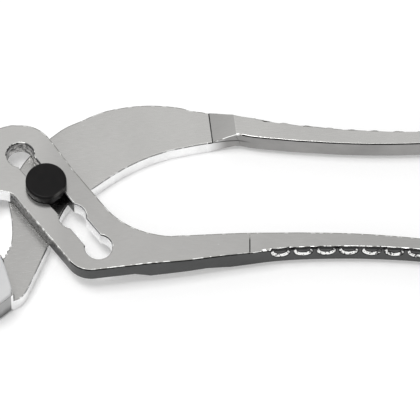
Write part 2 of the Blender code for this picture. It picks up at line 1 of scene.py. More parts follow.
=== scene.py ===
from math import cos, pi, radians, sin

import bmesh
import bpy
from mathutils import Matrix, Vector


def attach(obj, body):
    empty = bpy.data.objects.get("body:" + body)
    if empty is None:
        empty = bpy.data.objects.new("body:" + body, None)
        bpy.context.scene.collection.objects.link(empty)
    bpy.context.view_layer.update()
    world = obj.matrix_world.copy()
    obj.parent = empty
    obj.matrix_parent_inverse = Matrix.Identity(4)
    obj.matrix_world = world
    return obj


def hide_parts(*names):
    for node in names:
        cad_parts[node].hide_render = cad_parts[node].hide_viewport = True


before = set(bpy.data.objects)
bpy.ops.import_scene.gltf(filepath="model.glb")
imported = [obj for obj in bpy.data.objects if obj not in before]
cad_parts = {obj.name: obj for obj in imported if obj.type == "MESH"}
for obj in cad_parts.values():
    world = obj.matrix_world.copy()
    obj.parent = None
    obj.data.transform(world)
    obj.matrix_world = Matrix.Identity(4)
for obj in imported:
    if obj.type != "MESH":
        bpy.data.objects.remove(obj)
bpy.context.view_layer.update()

# %% [markdown]
# # Fitting pliers, dressed for a studio picture
#
# The tool has two flat steel levers that cross at a black bolt. One lever has a slot of
# four round seats, and the bolt can be set in any of them. The jaws wear pale plastic
# shoes, so that they grip chromed pipe nuts without marking them.
#
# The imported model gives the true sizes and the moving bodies. This notebook copies its
# shapes into finer pieces, rounds their edges, and gives every surface its finish.

MM = 0.001

# %% [markdown]
# ## Working on one piece at a time
#
# Blender's operators act on everything that is selected, and the loaded nodes arrive
# selected. So each piece is picked alone before an operator runs on it.

# %% Picking pieces and running operators
def pick(piece):
    """Select only this piece and make it active."""
    bpy.ops.object.select_all(action="DESELECT")
    piece.select_set(True)
    bpy.context.view_layer.objects.active = piece


def in_edit_mode(piece, work):
    """Run some work in edit mode with the whole mesh selected."""
    pick(piece)
    bpy.ops.object.mode_set(mode="EDIT")
    bpy.ops.mesh.select_all(action="SELECT")
    work()
    bpy.ops.object.mode_set(mode="OBJECT")


def apply_modifier(piece, name, kind, **settings):
    """Add a modifier with its settings and apply it at once."""
    pick(piece)
    modifier = piece.modifiers.new(name, kind)
    for key, value in settings.items():
        setattr(modifier, key, value)
    bpy.ops.object.modifier_apply(modifier=modifier.name)


# %% [markdown]
# ## Copying a part of the frame
#
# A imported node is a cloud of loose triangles. A copy of it is merged into one skin, and
# flat neighbours are dissolved into single faces, so that its real edges are left. The
# levers could be drawn again from their outlines, but a copy keeps every true size.
# Merging pulls some points slightly off a flat face, and so they are put back.

# %% A merged copy of a node
MERGE = 0.12 * MM
SAME_PLANE = radians(0.5)
FACING_UP = 0.97


def snap_height(piece, height):
    """Bring points that merging pulled off a flat face back to its height."""
    of_flat_faces = {index for polygon in piece.data.polygons
                     if polygon.normal.z > FACING_UP for index in polygon.vertices}
    for index in of_flat_faces:
        vertex = piece.data.vertices[index]
        if abs(vertex.co.z - height) < MERGE:
            vertex.co.z = height
    piece.data.update()


def copy_of(node, name, face_height=None, merge=MERGE):
    """A new piece with the node's shape, as one skin of few faces."""
    piece = bpy.data.objects.new(name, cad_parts[node].data.copy())
    bpy.context.scene.collection.objects.link(piece)
    piece.data.materials.clear()

    in_edit_mode(piece, lambda: bpy.ops.mesh.remove_doubles(threshold=merge))
    if face_height is not None:
        snap_height(piece, face_height)
    in_edit_mode(piece, lambda: bpy.ops.mesh.dissolve_limited(angle_limit=SAME_PLANE))
    pick(piece)
    if piece.data.has_custom_normals:
        bpy.ops.mesh.customdata_custom_splitnormals_clear()
    print(name, "starts with", len(piece.data.polygons), "faces")
    return piece


# %% [markdown]
# ## Rounding the edges
#
# No real edge is sharp, and a small rounding catches the light as a fine line. A bevel of
# three segments does it. Either all sharp edges are rounded, or each edge gets a weight
# that says how wide its rounding is. Weights are chosen where wide roundings would run
# into each other. The new faces can get a material slot of their own, so that they can be
# found again.

# %% Weighing and rounding
SHARP_TURN = radians(35)
SMOOTH_TURN = radians(40)
SEGMENTS = 3


def weigh_edges(piece, share_of):
    """Give every edge between two faces its share of the full rounding."""
    mesh = bmesh.new()
    mesh.from_mesh(piece.data)
    weight = mesh.edges.layers.float.new("bevel_weight_edge")
    for edge in mesh.edges:
        if len(edge.link_faces) == 2:
            edge[weight] = share_of(edge)
    print(piece.name, "rounds", sum(edge[weight] > 0 for edge in mesh.edges), "edges")
    mesh.to_mesh(piece.data)
    mesh.free()


def round_edges(piece, width, edge_slot=-1, chosen_by="WEIGHT"):
    """Round the weighted or the sharp edges, with their new faces in a slot."""
    apply_modifier(piece, "rounded edges", "BEVEL", width=width, segments=SEGMENTS,
                   limit_method=chosen_by, angle_limit=SHARP_TURN, material=edge_slot,
                   use_clamp_overlap=False, miter_outer="MITER_ARC", loop_slide=True)
    pick(piece)
    bpy.ops.object.shade_smooth_by_angle(angle=SMOOTH_TURN)
    apply_modifier(piece, "flat faces stay flat", "WEIGHTED_NORMAL", keep_sharp=True)
    print(piece.name, "has", len(piece.data.polygons), "faces")


# %% [markdown]
# ## Finishes as small node graphs
#
# Each finish is a graph on the piece's own Object coordinates, so the pattern stays put
# when a lever swings. A photo could be wrapped round the steel instead, but a graph has
# no seams and stays sharp from near by. The helpers below add one node and join its
# sockets, which keeps a finish readable as a short list of steps.

# %% Starting a finish and adding nodes
def new_finish(name, roughness, metallic):
    """A new material, its Principled shader, and the place on the piece."""
    material = bpy.data.materials.new(name)
    material.use_nodes = True
    nodes = material.node_tree.nodes
    shader = nodes["Principled BSDF"]
    shader.inputs["Roughness"].default_value = roughness
    shader.inputs["Metallic"].default_value = metallic
    place = nodes.new("ShaderNodeTexCoord")
    return material, shader, place.outputs["Object"]


def join(material, output, target):
    """Join two sockets."""
    material.node_tree.links.new(output, target)


def add_node(material, kind, inputs=None, **settings):
    """Add a node, set its options, and fill or join its inputs."""
    node = material.node_tree.nodes.new(kind)
    for key, value in settings.items():
        setattr(node, key, value)
    for key, value in (inputs or {}).items():
        if isinstance(value, bpy.types.NodeSocket):
            join(material, value, node.inputs[key])
        else:
            node.inputs[key].default_value = value
    return node


# %% [markdown]
# ## Patterns and tones
#
# Real steel is never one even tone. A noise gives soft random values all over a surface,
# and a colour ramp turns them into tones: wide ramps give clouds, and narrow ones give
# sharp patches. If the place is stretched first, round patches become long streaks, which
# look like a ground surface.

# %% Noise and ramps
def stretched(material, place, scale, turn=0.0):
    """The place, turned in the plane and scaled for each axis."""
    turned = add_node(material, "ShaderNodeMapping", {
        "Vector": place, "Rotation": (0, 0, turn), "Scale": scale})
    return turned.outputs["Vector"]


def noise(material, place, scale, detail=2.0, roughness=0.5):
    """Soft random values from 0 to 1. A scale of 1000 gives patches of about 1 mm."""
    node = add_node(material, "ShaderNodeTexNoise", {
        "Vector": place, "Scale": scale, "Detail": detail, "Roughness": roughness})
    return node.outputs["Fac"]


def ramp(material, value, stops):
    """A colour or grey for each value, from (position, grey or colour) stops."""
    node = add_node(material, "ShaderNodeValToRGB", {"Fac": value})
    band = node.color_ramp
    while len(band.elements) < len(stops):
        band.elements.new(0.5)
    for element, (position, colour) in zip(band.elements, stops):
        shade = colour if isinstance(colour, tuple) else (colour, colour, colour)
        element.position = position
        element.color = (*shade, 1)
    return node.outputs["Color"]


# %% [markdown]
# ## Mixing, painting and placing
#
# Most finishes are a base tone, times a pattern, laid where the object's shape asks for
# it. The tone often changes along the tool or with the height, because the real steel was
# forged, ground and worn place by place. A mask could be painted for that, but a ramp along
# an axis is set in millimetres and needs no image.

# %% Helpers that combine nodes
TOOL_START = -70
TOOL_END = 190
ABOVE_LEVERS = 16


def blend_colours(material, share, first, second, how="MIX"):
    """The first colour turned to the second by the share."""
    node = add_node(material, "ShaderNodeMix", data_type="RGBA", blend_type=how)
    for socket, value in ((node.inputs["Factor"], share), (node.inputs[6], first),
                          (node.inputs[7], second)):
        if isinstance(value, bpy.types.NodeSocket):
            join(material, value, socket)
        else:
            socket.default_value = value if isinstance(value, float) else (*value, 1)
    return node.outputs[2]


def multiplied(material, first, second):
    """One colour times the other."""
    return blend_colours(material, 1.0, first, second, "MULTIPLY")


def paint(material, shader, colour):
    """Use a colour as the finish's base colour."""
    join(material, colour, shader.inputs["Base Color"])


def raise_surface(material, shader, height, strength, distance):
    """Let the light see small bumps where the height changes."""
    bump = add_node(material, "ShaderNodeBump", {
        "Height": height, "Strength": strength, "Distance": distance})
    join(material, bump.outputs["Normal"], shader.inputs["Normal"])


def by_place(material, place, axis, low, high, stops):
    """A tone that changes along an axis, from (millimetres, tone) stops."""
    apart = add_node(material, "ShaderNodeSeparateXYZ", {0: place})
    share = add_node(material, "ShaderNodeMapRange", {
        "Value": apart.outputs[axis], "From Min": low * MM, "From Max": high * MM})
    shares = [((at - low) / (high - low), tone) for at, tone in stops]
    return ramp(material, share.outputs["Result"], shares)


def along_tool(material, place, stops):
    """A tone that changes from the jaws to the handles' ends."""
    return by_place(material, place, "X", TOOL_START, TOOL_END, stops)


def by_height(material, place, stops):
    """A tone that changes with the height over the tool's back."""
    return by_place(material, place, "Z", 0, ABOVE_LEVERS, stops)


# %% [markdown]
# ## Ground and plated faces
#
# The levers' flat faces are ground smooth, then plated. They are almost even: the tone
# drifts slowly in soft clouds, painted light and shade change it along the tool, there is
# a trace of grain along the grinding direction, and a few bright specks and dark pits where
# the plating caught dust. One grey would look like plastic, so four weak layers are laid
# over each other. The plating is glossy enough to mirror the black bolt head in the face
# beside it.

# %% The plated face
GRAIN_SCALE = (260, 5200, 260)
WARMTH = (1.0, 0.99, 0.965)


def dust_specks(material, place):
    """Where there are specks, and whether each one is dark or light."""
    cells = add_node(material, "ShaderNodeTexVoronoi", {"Vector": place, "Scale": 240.0})
    speck = ramp(material, cells.outputs["Distance"], [(0.04, 0.8), (0.11, 0.0)])
    cluster = ramp(material, noise(material, place, 70.0, detail=1.0),
                   [(0.61, 0.0), (0.68, 1.0)])
    dark_or_light = ramp(material, cells.outputs["Color"], [(0.35, 0.16), (0.45, 0.85)])
    return multiplied(material, speck, cluster), dark_or_light


def plated_face(name, shaded_tones, grain_turn, gloss=0.2):
    """Plating with painted shade by (place along the tool in mm, grey) stops."""
    material, shader, place = new_finish(name, gloss, 1.0)
    greys = [(at, tuple(grey * part for part in WARMTH)) for at, grey in shaded_tones]
    drift = ramp(material, noise(material, place, 40.0, detail=4.0), [(0.3, 0.93), (0.7, 1.0)])
    # The greys along the tool are painted light and shade.
    tone = multiplied(material, along_tool(material, place, greys), drift)

    grain = noise(material, stretched(material, place, GRAIN_SCALE, grain_turn), 1.0)
    grain_tone = ramp(material, grain, [(0.35, 0.2), (0.65, 0.7)])
    grained = blend_colours(material, 0.03, tone, grain_tone)
    specks, dark_or_light = dust_specks(material, place)
    paint(material, shader, blend_colours(material, specks, grained, dark_or_light))

    roughness = ramp(material, grain, [(0.3, gloss - 0.03), (0.7, gloss + 0.03)])
    join(material, roughness, shader.inputs["Roughness"])
    raise_surface(material, shader, grain, 0.05, 0.02 * MM)
    return material


# %% [markdown]
# ## Walls
#
# A lever's outer wall is what the forging die left: a slightly uneven skin under thin
# plating, with slow clouds of tone and small pits. The slot, the jaw's mouth and the rear
# plate's inner curve are cut afterwards, so their walls are bright. All of them start from
# one skin in their own tone, because they came from one piece of steel.

# %% The forged skin and the cut wall
CUT_BRIGHT = (0.90, 0.90, 0.90)


def forged_skin(name, colour):
    """The uneven skin of a forged wall, in this tone."""
    material, shader, place = new_finish(name, 0.38, 1.0)
    cloud = noise(material, place, 60.0, detail=4.0, roughness=0.6)
    dark, light = (tuple(part * change for part in colour) for change in (0.82, 1.15))
    tone = ramp(material, cloud, [(0.25, dark), (0.75, light)])
    raise_surface(material, shader, noise(material, place, 900.0), 0.25, 0.05 * MM)
    paint(material, shader, tone)
    return material, shader, place, tone


def cut_wall():
    """A wall that was cut and then plated bright."""
    material, shader, _, _ = forged_skin("cut_and_plated_wall", CUT_BRIGHT)
    shader.inputs["Roughness"].default_value = 0.25
    return material


# %% [markdown]
# ## Walls that differ from place to place
#
# The front lever's wall is dark, and scaly where it lies over the rear lever, painted darker
# towards the rear lever as shade. The rear lever's wall is grey and has a painted dark line
# of crease shade, and its jaw is smooth and pale, with painted shade towards its foot. Each
# could be a piece of its own with its own finish, but then a seam would show. So one finish
# covers a whole wall and changes by place: two tones are mixed by a mask that is 1 where the
# second one belongs.

# %% The levers' own skins
DARK_SKIN = (0.066, 0.067, 0.067)
GREY_SKIN = (0.31, 0.305, 0.30)
CREASE_SHADE_BLACK = (0.06, 0.06, 0.06)


def scaly_front_skin():
    """Dark, blotched over the rear lever, with painted shade darker towards it."""
    material, shader, place, tone = forged_skin("front_lever_dark_skin", DARK_SKIN)
    light = along_tool(material, place, [(-11, 0.20), (-4, 0.12), (2, 0.07)])
    # Painted shade: the blotches get darker towards the rear lever's face below.
    painted_shade_by_height = by_height(material, place, [(8.0, 0.30), (12.0, 0.6), (15.0, 1.25)])
    grains = ramp(material, noise(material, place, 1150.0, detail=1.0),
                  [(0.48, 0.02), (0.52, 1.5)])
    scale = multiplied(material, multiplied(material, light, painted_shade_by_height), grains)
    over_rear_lever = along_tool(material, place, [(-18, 0.0), (-16, 1.0), (3, 1.0), (9, 0.0)])
    near = by_place(material, place, "Y", -60, 60, [(-3, 1.0), (1, 0.0)])
    scaly = multiplied(material, over_rear_lever, near)
    paint(material, shader, blend_colours(material, scaly, tone, scale))
    return material


def creased_rear_skin():
    """Grey, with painted crease shade where the plate's rim runs on into the handle."""
    material, shader, place, tone = forged_skin("rear_lever_grey_skin", GREY_SKIN)
    plated = along_tool(material, place, [(66, 1.0), (74, 0.0)])
    tone = blend_colours(material, plated, tone, CUT_BRIGHT)
    # Painted shade: a dark line where the plate's rim runs on into the handle's wall.
    band = by_height(material, place, [(7.0, 0.0), (7.25, 1.0), (7.75, 1.0), (8.0, 0.0)])
    reach = along_tool(material, place, [(80, 1.0), (84, 0.0)])
    crease = multiplied(material, band, reach)
    paint(material, shader, blend_colours(material, crease, tone, CREASE_SHADE_BLACK))
    return material


def jaw_skin():
    """Smooth and pale below the rim, with painted shade towards the foot."""
    material, shader, place, tone = forged_skin("rear_jaw_skin", CUT_BRIGHT)
    # Painted shade: darker towards the foot, next to the table.
    shade = by_height(material, place, [(0.3, 0.05), (3.0, 0.15), (7.2, 0.42)])
    paint(material, shader, multiplied(material, tone, shade))
    return material


# %% [markdown]
# ## Walls of the slot
#
# The bolt has worn the walls of the upper seats grey, with dark marks. The neck just below
# it is painted black as the shade under the bolt, with a few bright grains. Both are one
# noise that is cut into sharp patches, which costs less than modelled pits and looks the
# same at this size.

# %% Worn seats and a neck in painted shade
def blotched_wall(name, scale, dark, light, middle):
    """Sharp dark and light blotches, as on scaly or worn steel."""
    material, shader, place = new_finish(name, 0.35, 1.0)
    patches = noise(material, place, scale, detail=5.0, roughness=0.7)
    tone = ramp(material, patches, [(middle - 0.06, dark), (middle + 0.06, light)])
    paint(material, shader, tone)
    raise_surface(material, shader, noise(material, place, 700.0), 0.3, 0.08 * MM)
    return material


def worn_seat():
    """The upper seats' walls: grey steel with dark wear marks."""
    return blotched_wall("worn_seat_wall", 520.0, (0.10, 0.10, 0.10), (0.62, 0.61, 0.60), 0.5)


def neck_in_painted_shade():
    """The neck below the bolt: black painted shade, with a few bright grains."""
    return blotched_wall("neck_wall_painted_shade", 800.0, (0.006, 0.006, 0.006),
                         (0.16, 0.16, 0.155), 0.56)


# %% [markdown]
# ## Rims and lines
#
# The rounding between a face and a wall shows as two fine marks. Its upper part gets
# painted highlights in short dashes, and its lower part a painted black line of shade. The
# dashes could be drawn one by one, but a noise that is cut at one level scatters them over
# every rim, and the level sets the share of painted highlight.

# %% Finishes for rims
# Painted black for shade and painted white for highlights, on rims, pockets and creases.
PAINTED_SHADE_BLACK = (0.010, 0.010, 0.010)
PAINTED_HIGHLIGHT = (0.92, 0.92, 0.91)
GREY = (0.27, 0.265, 0.255)
RIM_ROUGHNESS = 0.45


def level_for(share):
    """Where to cut a noise so that about this share of it lies above."""
    return 0.64 - share * 0.28


def rim_with_painted_light(name, ground, bright, share, scale=380.0):
    """A rim colour with painted highlight dashes on about this share of its length."""
    material, shader, place = new_finish(name, RIM_ROUGHNESS, 1.0)
    patches = noise(material, place, scale, roughness=0.6)
    level = level_for(share)
    highlit = ramp(material, patches, [(level - 0.03, 0.0), (level + 0.03, 1.0)])
    paint(material, shader, blend_colours(material, highlit, ground, bright))
    raise_surface(material, shader, patches, 0.2, 0.05 * MM)
    return material


# %% [markdown]
# ## Grip pockets and the grip's crease
#
# A pocket is a small hollow in the grip's outer wall, one of a row that keeps the hand
# from slipping. Painted black shade lies under its upper rim and along its foot, and its
# slopes get painted highlights. The front grip also has a crease across its face, where the
# shank meets it, and the crease is painted black with shade towards the outer side. Height
# decides where the shade is painted, since both the rim and the foot of a pocket run level.

# %% Finishes for pockets and the crease
POCKET_DARK = (0.085, 0.085, 0.085)
SLOPE_DARK = (0.07, 0.07, 0.07)
CREASE_GREY = (0.41, 0.405, 0.39)


def pocket_floor():
    """Dark steel, with painted black shade under the rim and along the pocket's foot."""
    material, shader, place = new_finish("grip_pocket_floor", 0.4, 1.0)
    # Painted shade: black bands under the rim and along the foot.
    tone = by_height(material, place, [(8.1, PAINTED_SHADE_BLACK), (8.9, POCKET_DARK),
                                       (9.9, POCKET_DARK), (10.5, PAINTED_SHADE_BLACK)])
    cloud = ramp(material, noise(material, place, 500.0, detail=3.0), [(0.3, 0.7), (0.7, 1.0)])
    paint(material, shader, multiplied(material, tone, cloud))
    return material


def pocket_slope(name, share):
    """A pocket's slope: painted highlights below painted shade under the rim."""
    material, shader, place = new_finish(name, 0.4, 1.0)
    patches = noise(material, place, 850.0, roughness=0.6)
    level = level_for(share)
    highlit = ramp(material, patches, [(level - 0.05, SLOPE_DARK), (level + 0.05, PAINTED_HIGHLIGHT)])
    # Painted shade under the rim.
    scale = by_height(material, place, [(10.5, 1.0), (11.0, 0.01)])
    paint(material, shader, multiplied(material, highlit, scale))
    return material


def grip_crease():
    """Shank meets grip: a crease painted black with shade towards the outer side."""
    material, shader, place = new_finish("grip_crease", 0.3, 1.0)
    # Painted shade: black in the crease towards the outer side.
    tone = by_place(material, place, "Y", -40, 0, [(-24.0, PAINTED_SHADE_BLACK), (-22.2, CREASE_GREY)])
    patches = ramp(material, noise(material, place, 900.0), [(0.35, 0.75), (0.6, 1.0)])
    paint(material, shader, multiplied(material, tone, patches))
    return material


# %% [markdown]
# ## The levers' lists of finishes
#
# Each lever gets one list, by a short name for each kind of surface. The greys of the
# ground faces change along the tool as painted shade: the front lever is painted darker
# beside the bolt and towards the handle's end, the rear lever darkest near its jaw, and the
# ramp face darker at its foot.

# %% Finishes of the levers
# Painted shade: the faces' greys along the tool, in mm and grey.
FRONT_SHADED_TONES = [(-20, 0.49), (-4, 0.48), (8, 0.405), (22, 0.42), (55, 0.445),
               (104, 0.41), (141, 0.38)]
REAR_SHADED_TONES = [(-14, 0.385), (4, 0.42), (20, 0.465), (61, 0.49), (100, 0.48), (141, 0.485)]
RAMP_SHADED_TONES = [(67, 0.37), (77, 0.41)]

FRONT_FINISHES = {
    "face": plated_face("front_lever_plated_face", FRONT_SHADED_TONES, radians(8)),
    "skin": scaly_front_skin(),
    "cut": cut_wall(),
    "seat": worn_seat(),
    "neck": neck_in_painted_shade(),
    # Rims: a ground tone with painted highlight dashes; the black line is painted shade.
    "rim": rim_with_painted_light("lever_rim_painted_highlights", GREY, (0.66, 0.66, 0.65), 0.3),
    "grip_rim": rim_with_painted_light("grip_rim_painted_highlights", GREY, PAINTED_HIGHLIGHT, 0.65),
    "dull": rim_with_painted_light("dull_rim", (0.26, 0.26, 0.255), (0.42, 0.42, 0.41), 0.3),
    "line": rim_with_painted_light("black_line_painted_shade", PAINTED_SHADE_BLACK, (0.05, 0.05, 0.05), 0.3),
    "glint": rim_with_painted_light("bevel_end_painted_glint", (0.16, 0.16, 0.16), PAINTED_HIGHLIGHT, 0.8, 520.0),
    "seat_rim": rim_with_painted_light("upper_seat_rim", (0.07, 0.07, 0.07), (0.45, 0.45, 0.44), 0.35),
    "slot_rim": rim_with_painted_light("slot_grey_rim", (0.24, 0.24, 0.25), (0.6, 0.6, 0.6), 0.3),
    # The slopes facing the handle's end get more painted highlight than those facing the jaws.
    "slope": pocket_slope("grip_pocket_near_slope", 0.75),
    "far_slope": pocket_slope("grip_pocket_far_slope", 0.40),
    "floor": pocket_floor(),
    "crease": grip_crease(),
}
REAR_FINISHES = {
    "face": plated_face("rear_lever_plated_face", REAR_SHADED_TONES, radians(-12), 0.25),
    "skin": creased_rear_skin(),
    "cut": FRONT_FINISHES["cut"],
    "ramp": plated_face("rear_lever_ramp_face", RAMP_SHADED_TONES, radians(80)),
    "rim": FRONT_FINISHES["rim"],
    "bright_rim": FRONT_FINISHES["grip_rim"],
    "dull": FRONT_FINISHES["dull"],
    "line": FRONT_FINISHES["line"],
    "thin_line": rim_with_painted_light("rear_lever_broken_line", (0.30, 0.30, 0.30), (0.7, 0.7, 0.7), 0.4),
    "jaw_skin": jaw_skin(),
}
print(len(FRONT_FINISHES), "front finishes and", len(REAR_FINISHES), "rear finishes")

# %% [markdown]
# ## Which lever edges are rounded
#
# The rim of a front face gets the full rounding. The rims at the back, the corners between
# two walls, the teeth and the edges of the grip pockets get a small part of it, so that
# neighbouring roundings never meet. Round the handle's end the width changes bit by bit.
# The core inside the lower shoe isn't rounded at all.

# %% The share of an edge
SMALL_SHARE = 0.4
FLAT = 0.95
MAINLY = 0.5
RAMP_TURN = radians(24)
POCKET_TURN = radians(17)
CREASE_TURN = radians(2)
SHOE_END = -9 * MM
PLATE_FACE = 7.5 * MM
CREASE_PLACE = 83.5 * MM
POCKETS_START = 84.5 * MM
GRIP_ZONE = 85.5 * MM
GRIP_FACE = 12.45 * MM
HANDLE_END = 182 * MM


def is_core_in_shoe(place):
    """Whether a place on the rear lever is on the core that the shoe covers."""
    return place.x < SHOE_END and place.z > PLATE_FACE + MERGE


def edge_share(edge, side):
    """The share for a lever whose handle has its outer wall on this side of Y."""
    turn = edge.calc_face_angle(0)
    wall = min(edge.link_faces, key=lambda face: abs(face.normal.z))
    middle = (edge.verts[0].co + edge.verts[1].co) / 2
    least, most = sorted(abs(face.normal.z) for face in edge.link_faces)
    if side > 0 and is_core_in_shoe(middle):
        return 0
    at_crease = abs(middle.x - CREASE_PLACE) < MERGE and middle.z > GRIP_FACE - MERGE
    if at_crease and least > FLAT:
        return SMALL_SHARE if turn > CREASE_TURN else 0
    if turn < (POCKET_TURN if middle.x > GRIP_ZONE else RAMP_TURN):
        return 0
    looks_down = min(face.normal.z for face in edge.link_faces) < -MAINLY
    if least > MAINLY or most < FLAT or looks_down:
        return SMALL_SHARE
    outward = wall.normal.y * side
    if middle.x > HANDLE_END:
        return (1 + SMALL_SHARE - (1 - SMALL_SHARE) * outward) / 2
    return 1 if middle.x < POCKETS_START or outward < 0 else SMALL_SHARE


# %% [markdown]
# ## How deep a place lies behind the grip's wall
#
# The wall's foot runs straight below the pockets, so it gives the line of the outer wall.
# A pocket's slope and floor are told apart by how far they lie behind that line. Their
# normals alone wouldn't do, since the wall itself curves.

# %% The grip's outer line
GRIP_FOOT = 3.2 * MM


def outer_line(lever, side):
    """Points along the foot of the grip's outer wall, on this side of Y."""
    points = set()
    for polygon in lever.data.polygons:
        if polygon.center.x > GRIP_ZONE and polygon.normal.y * side > MAINLY:
            places = [lever.data.vertices[index].co for index in polygon.vertices]
            points.update((place.x, place.y) for place in places if place.z < GRIP_FOOT)
    return sorted(points)


def depth_behind(line, place, side):
    """How far a place lies inside the line, or 0 where the line doesn't reach."""
    for (x, y), (next_x, next_y) in zip(line, line[1:]):
        if x <= place.x <= next_x and next_x > x:
            wall = y + (next_y - y) * (place.x - x) / (next_x - x)
            return (wall - place.y) * side
    return 0


# %% [markdown]
# ## Dressing a lever
#
# Each lever is one flat plate from jaw core to handle. Its faces are sorted by where they
# are and where they look, and each one takes its finish from the lever's list. The faces
# could be painted by hand, but a rule finds them again if the shape changes.

# %% One lever
EDGE_WIDTH = 0.6 * MM


def dress_lever(node, name, body, side, finishes, choose):
    """A lever's plate with rounded edges and a finish for every face."""
    lever = copy_of(node, name, GRIP_FACE)
    names = list(finishes)
    for finish in finishes.values():
        lever.data.materials.append(finish)
    line = outer_line(lever, side)
    weigh_edges(lever, lambda edge: edge_share(edge, side))
    round_edges(lever, EDGE_WIDTH, edge_slot=names.index("line"))
    for polygon in lever.data.polygons:
        is_edge = polygon.material_index == names.index("line")
        depth = depth_behind(line, polygon.center, side)
        wanted = choose(polygon.center, polygon.normal, is_edge, depth)
        polygon.material_index = names.index(wanted)
    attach(lever, body)
    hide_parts(node)


# %% [markdown]
# ## The slot's finishes
#
# The slot runs at a slant through the front lever's head, and the bolt sits in its second
# seat. A place belongs to the slot if it lies near the slot's middle line. The rims on the
# near side look like the face. On the far side, the rims of the upper seats are dark and the
# others grey, both with painted highlight dashes, and there is one black mark on the edge of
# the last seat.

# %% What the slot wears
UPPER_STRIP = 0.85
UPRIGHT = 0.15
SLOT_TURN = radians(-52.9)
SLOT_WAY = Vector((cos(SLOT_TURN), sin(SLOT_TURN), 0))
SLOT_START = -27 * MM
SLOT_END = 45 * MM
SLOT_HALF = 6.5 * MM
NECK_START = 3 * MM
NECK_END = 13 * MM
LAST_SEAT_START = 31 * MM
SEAT_MARK_END = 37 * MM


def along_slot(place):
    """How far along the slot a place is, and whether it is in the slot."""
    along = place.dot(SLOT_WAY)
    aside = (place - SLOT_WAY * along).to_2d().length
    return along, SLOT_START < along < SLOT_END and aside < SLOT_HALF


def slot_wall_finish(along):
    """Worn in the upper seats, painted black shade below the bolt, and then bright."""
    if along < NECK_START:
        return "seat"
    return "neck" if along < NECK_END else "cut"


def slot_edge_finish(normal, along):
    """The finish of a rounding along the slot."""
    if abs(normal.z) < UPRIGHT:
        return slot_wall_finish(along)
    if normal.y > 0:
        return "face"
    if along < NECK_START:
        return "seat_rim"
    if abs(normal.z) > UPPER_STRIP:
        return "dull"
    return "line" if LAST_SEAT_START < along < SEAT_MARK_END else "slot_rim"


# %% [markdown]
# ## The front lever
#
# This lever lies on top, and its near rim shows most. Its upper strip is dull along the
# head and has painted highlights along the grip, and from the bolt on a painted black line
# of shade runs below it. On the grip, a bevel painted black with shade lies above the
# pockets, and its first end has a painted glint. One even rim would look like a drawn
# outline.

# %% Where the front lever wears what
MOUTH_END = -15 * MM
BLACK_LINE_START = 8 * MM
HEEL_END = 26 * MM
BLACK_EDGE_START = 71 * MM
BLACK_EDGE_END = 80 * MM
BEVEL_GLINT_END = 91 * MM
WALL_DEPTH = 0.12 * MM
FLOOR_DEPTH = 0.6 * MM
SLANTED = 0.75
LEANING = 0.3


def front_edge_finish(place, normal):
    """The finish of a rounding outside the slot."""
    near_side = normal.y < 0
    is_upper = abs(normal.z) > UPPER_STRIP
    if abs(place.x - CREASE_PLACE) < EDGE_WIDTH and abs(normal.z) > FLAT:
        return "crease"
    if near_side and place.x < MOUTH_END:
        return "dull" if is_upper else "cut"
    if near_side and is_upper:
        if place.x < HEEL_END or BLACK_EDGE_START < place.x < BLACK_EDGE_END:
            return "dull"
        return "grip_rim" if place.x > BLACK_EDGE_END else "rim"
    if near_side:
        # Painted shade: a black line below the near rim from the bolt on.
        return "line" if place.x > BLACK_LINE_START else "rim"
    return "rim" if is_upper else "dull"


def front_finish(place, normal, is_edge, depth):
    """The finish of any face of the front lever."""
    height = abs(normal.z)
    along, in_slot = along_slot(place)
    if is_edge:
        return slot_edge_finish(normal, along) if in_slot else front_edge_finish(place, normal)
    if height > FLAT or (height > SLANTED and place.x < GRIP_ZONE):
        return "face"
    if height > SLANTED:
        # A painted glint on the bevel's first end, and painted black shade on the rest.
        return "glint" if place.x < BEVEL_GLINT_END else "line"
    if in_slot:
        return slot_wall_finish(along)
    if place.x < MOUTH_END and normal.y < 0:
        return "cut"
    if place.x > GRIP_ZONE and normal.y < 0 and depth > WALL_DEPTH:
        if depth > FLOOR_DEPTH:
            return "floor"
        return "far_slope" if normal.x < -LEANING else "slope"
    return "skin"


dress_lever("front_lever", "front_lever_plate", "front_half", -1, FRONT_FINISHES, front_finish)

# %% [markdown]
# ## The rear lever
#
# This lever lies behind. A ramp leads from its plate up to the handle, with a painted dark
# line of shade at the ramp's foot and painted highlights along the near side of its rim. The
# plate's inner curve was cut and plated, while the handle's wall keeps its grey skin. The
# same helper dresses both levers, and only the rules and the finishes differ.

# %% Where the rear lever wears what
CUT_END = 66 * MM
RAMP_FOOT = 67.5 * MM
FOOT_REACH = 3 * MM
FOOT_TILT = 0.05
RIM_TILT = 0.15
RAMP_RIM_START = 69 * MM
RAMP_RIM_END = 81 * MM
NECK_CORNER_START = 3 * MM
NECK_CORNER_END = 14 * MM
JAW_OUTSIDE = -14.3 * MM


def rear_edge_finish(place, normal):
    """The finish of a rounding on the rear lever."""
    is_upper = abs(normal.z) > UPPER_STRIP
    # Painted shade: a dark line at the ramp's foot.
    if is_upper and abs(place.x - RAMP_FOOT) < FOOT_REACH and normal.x < -FOOT_TILT:
        return "line"
    if is_core_in_shoe(place):
        return "dull"
    # Painted highlights along the ramp's near rim.
    if normal.y < -RIM_TILT and RAMP_RIM_START < place.x < RAMP_RIM_END:
        return "bright_rim"
    if is_upper:
        return "rim" if normal.y > RIM_TILT and place.x < CUT_END else "face"
    if normal.y >= 0:
        return "dull"
    # Painted shade: a black line below the rim along the handle and at the neck's corner.
    is_black = place.x > CUT_END or NECK_CORNER_START < place.x < NECK_CORNER_END
    return "line" if is_black else "thin_line"


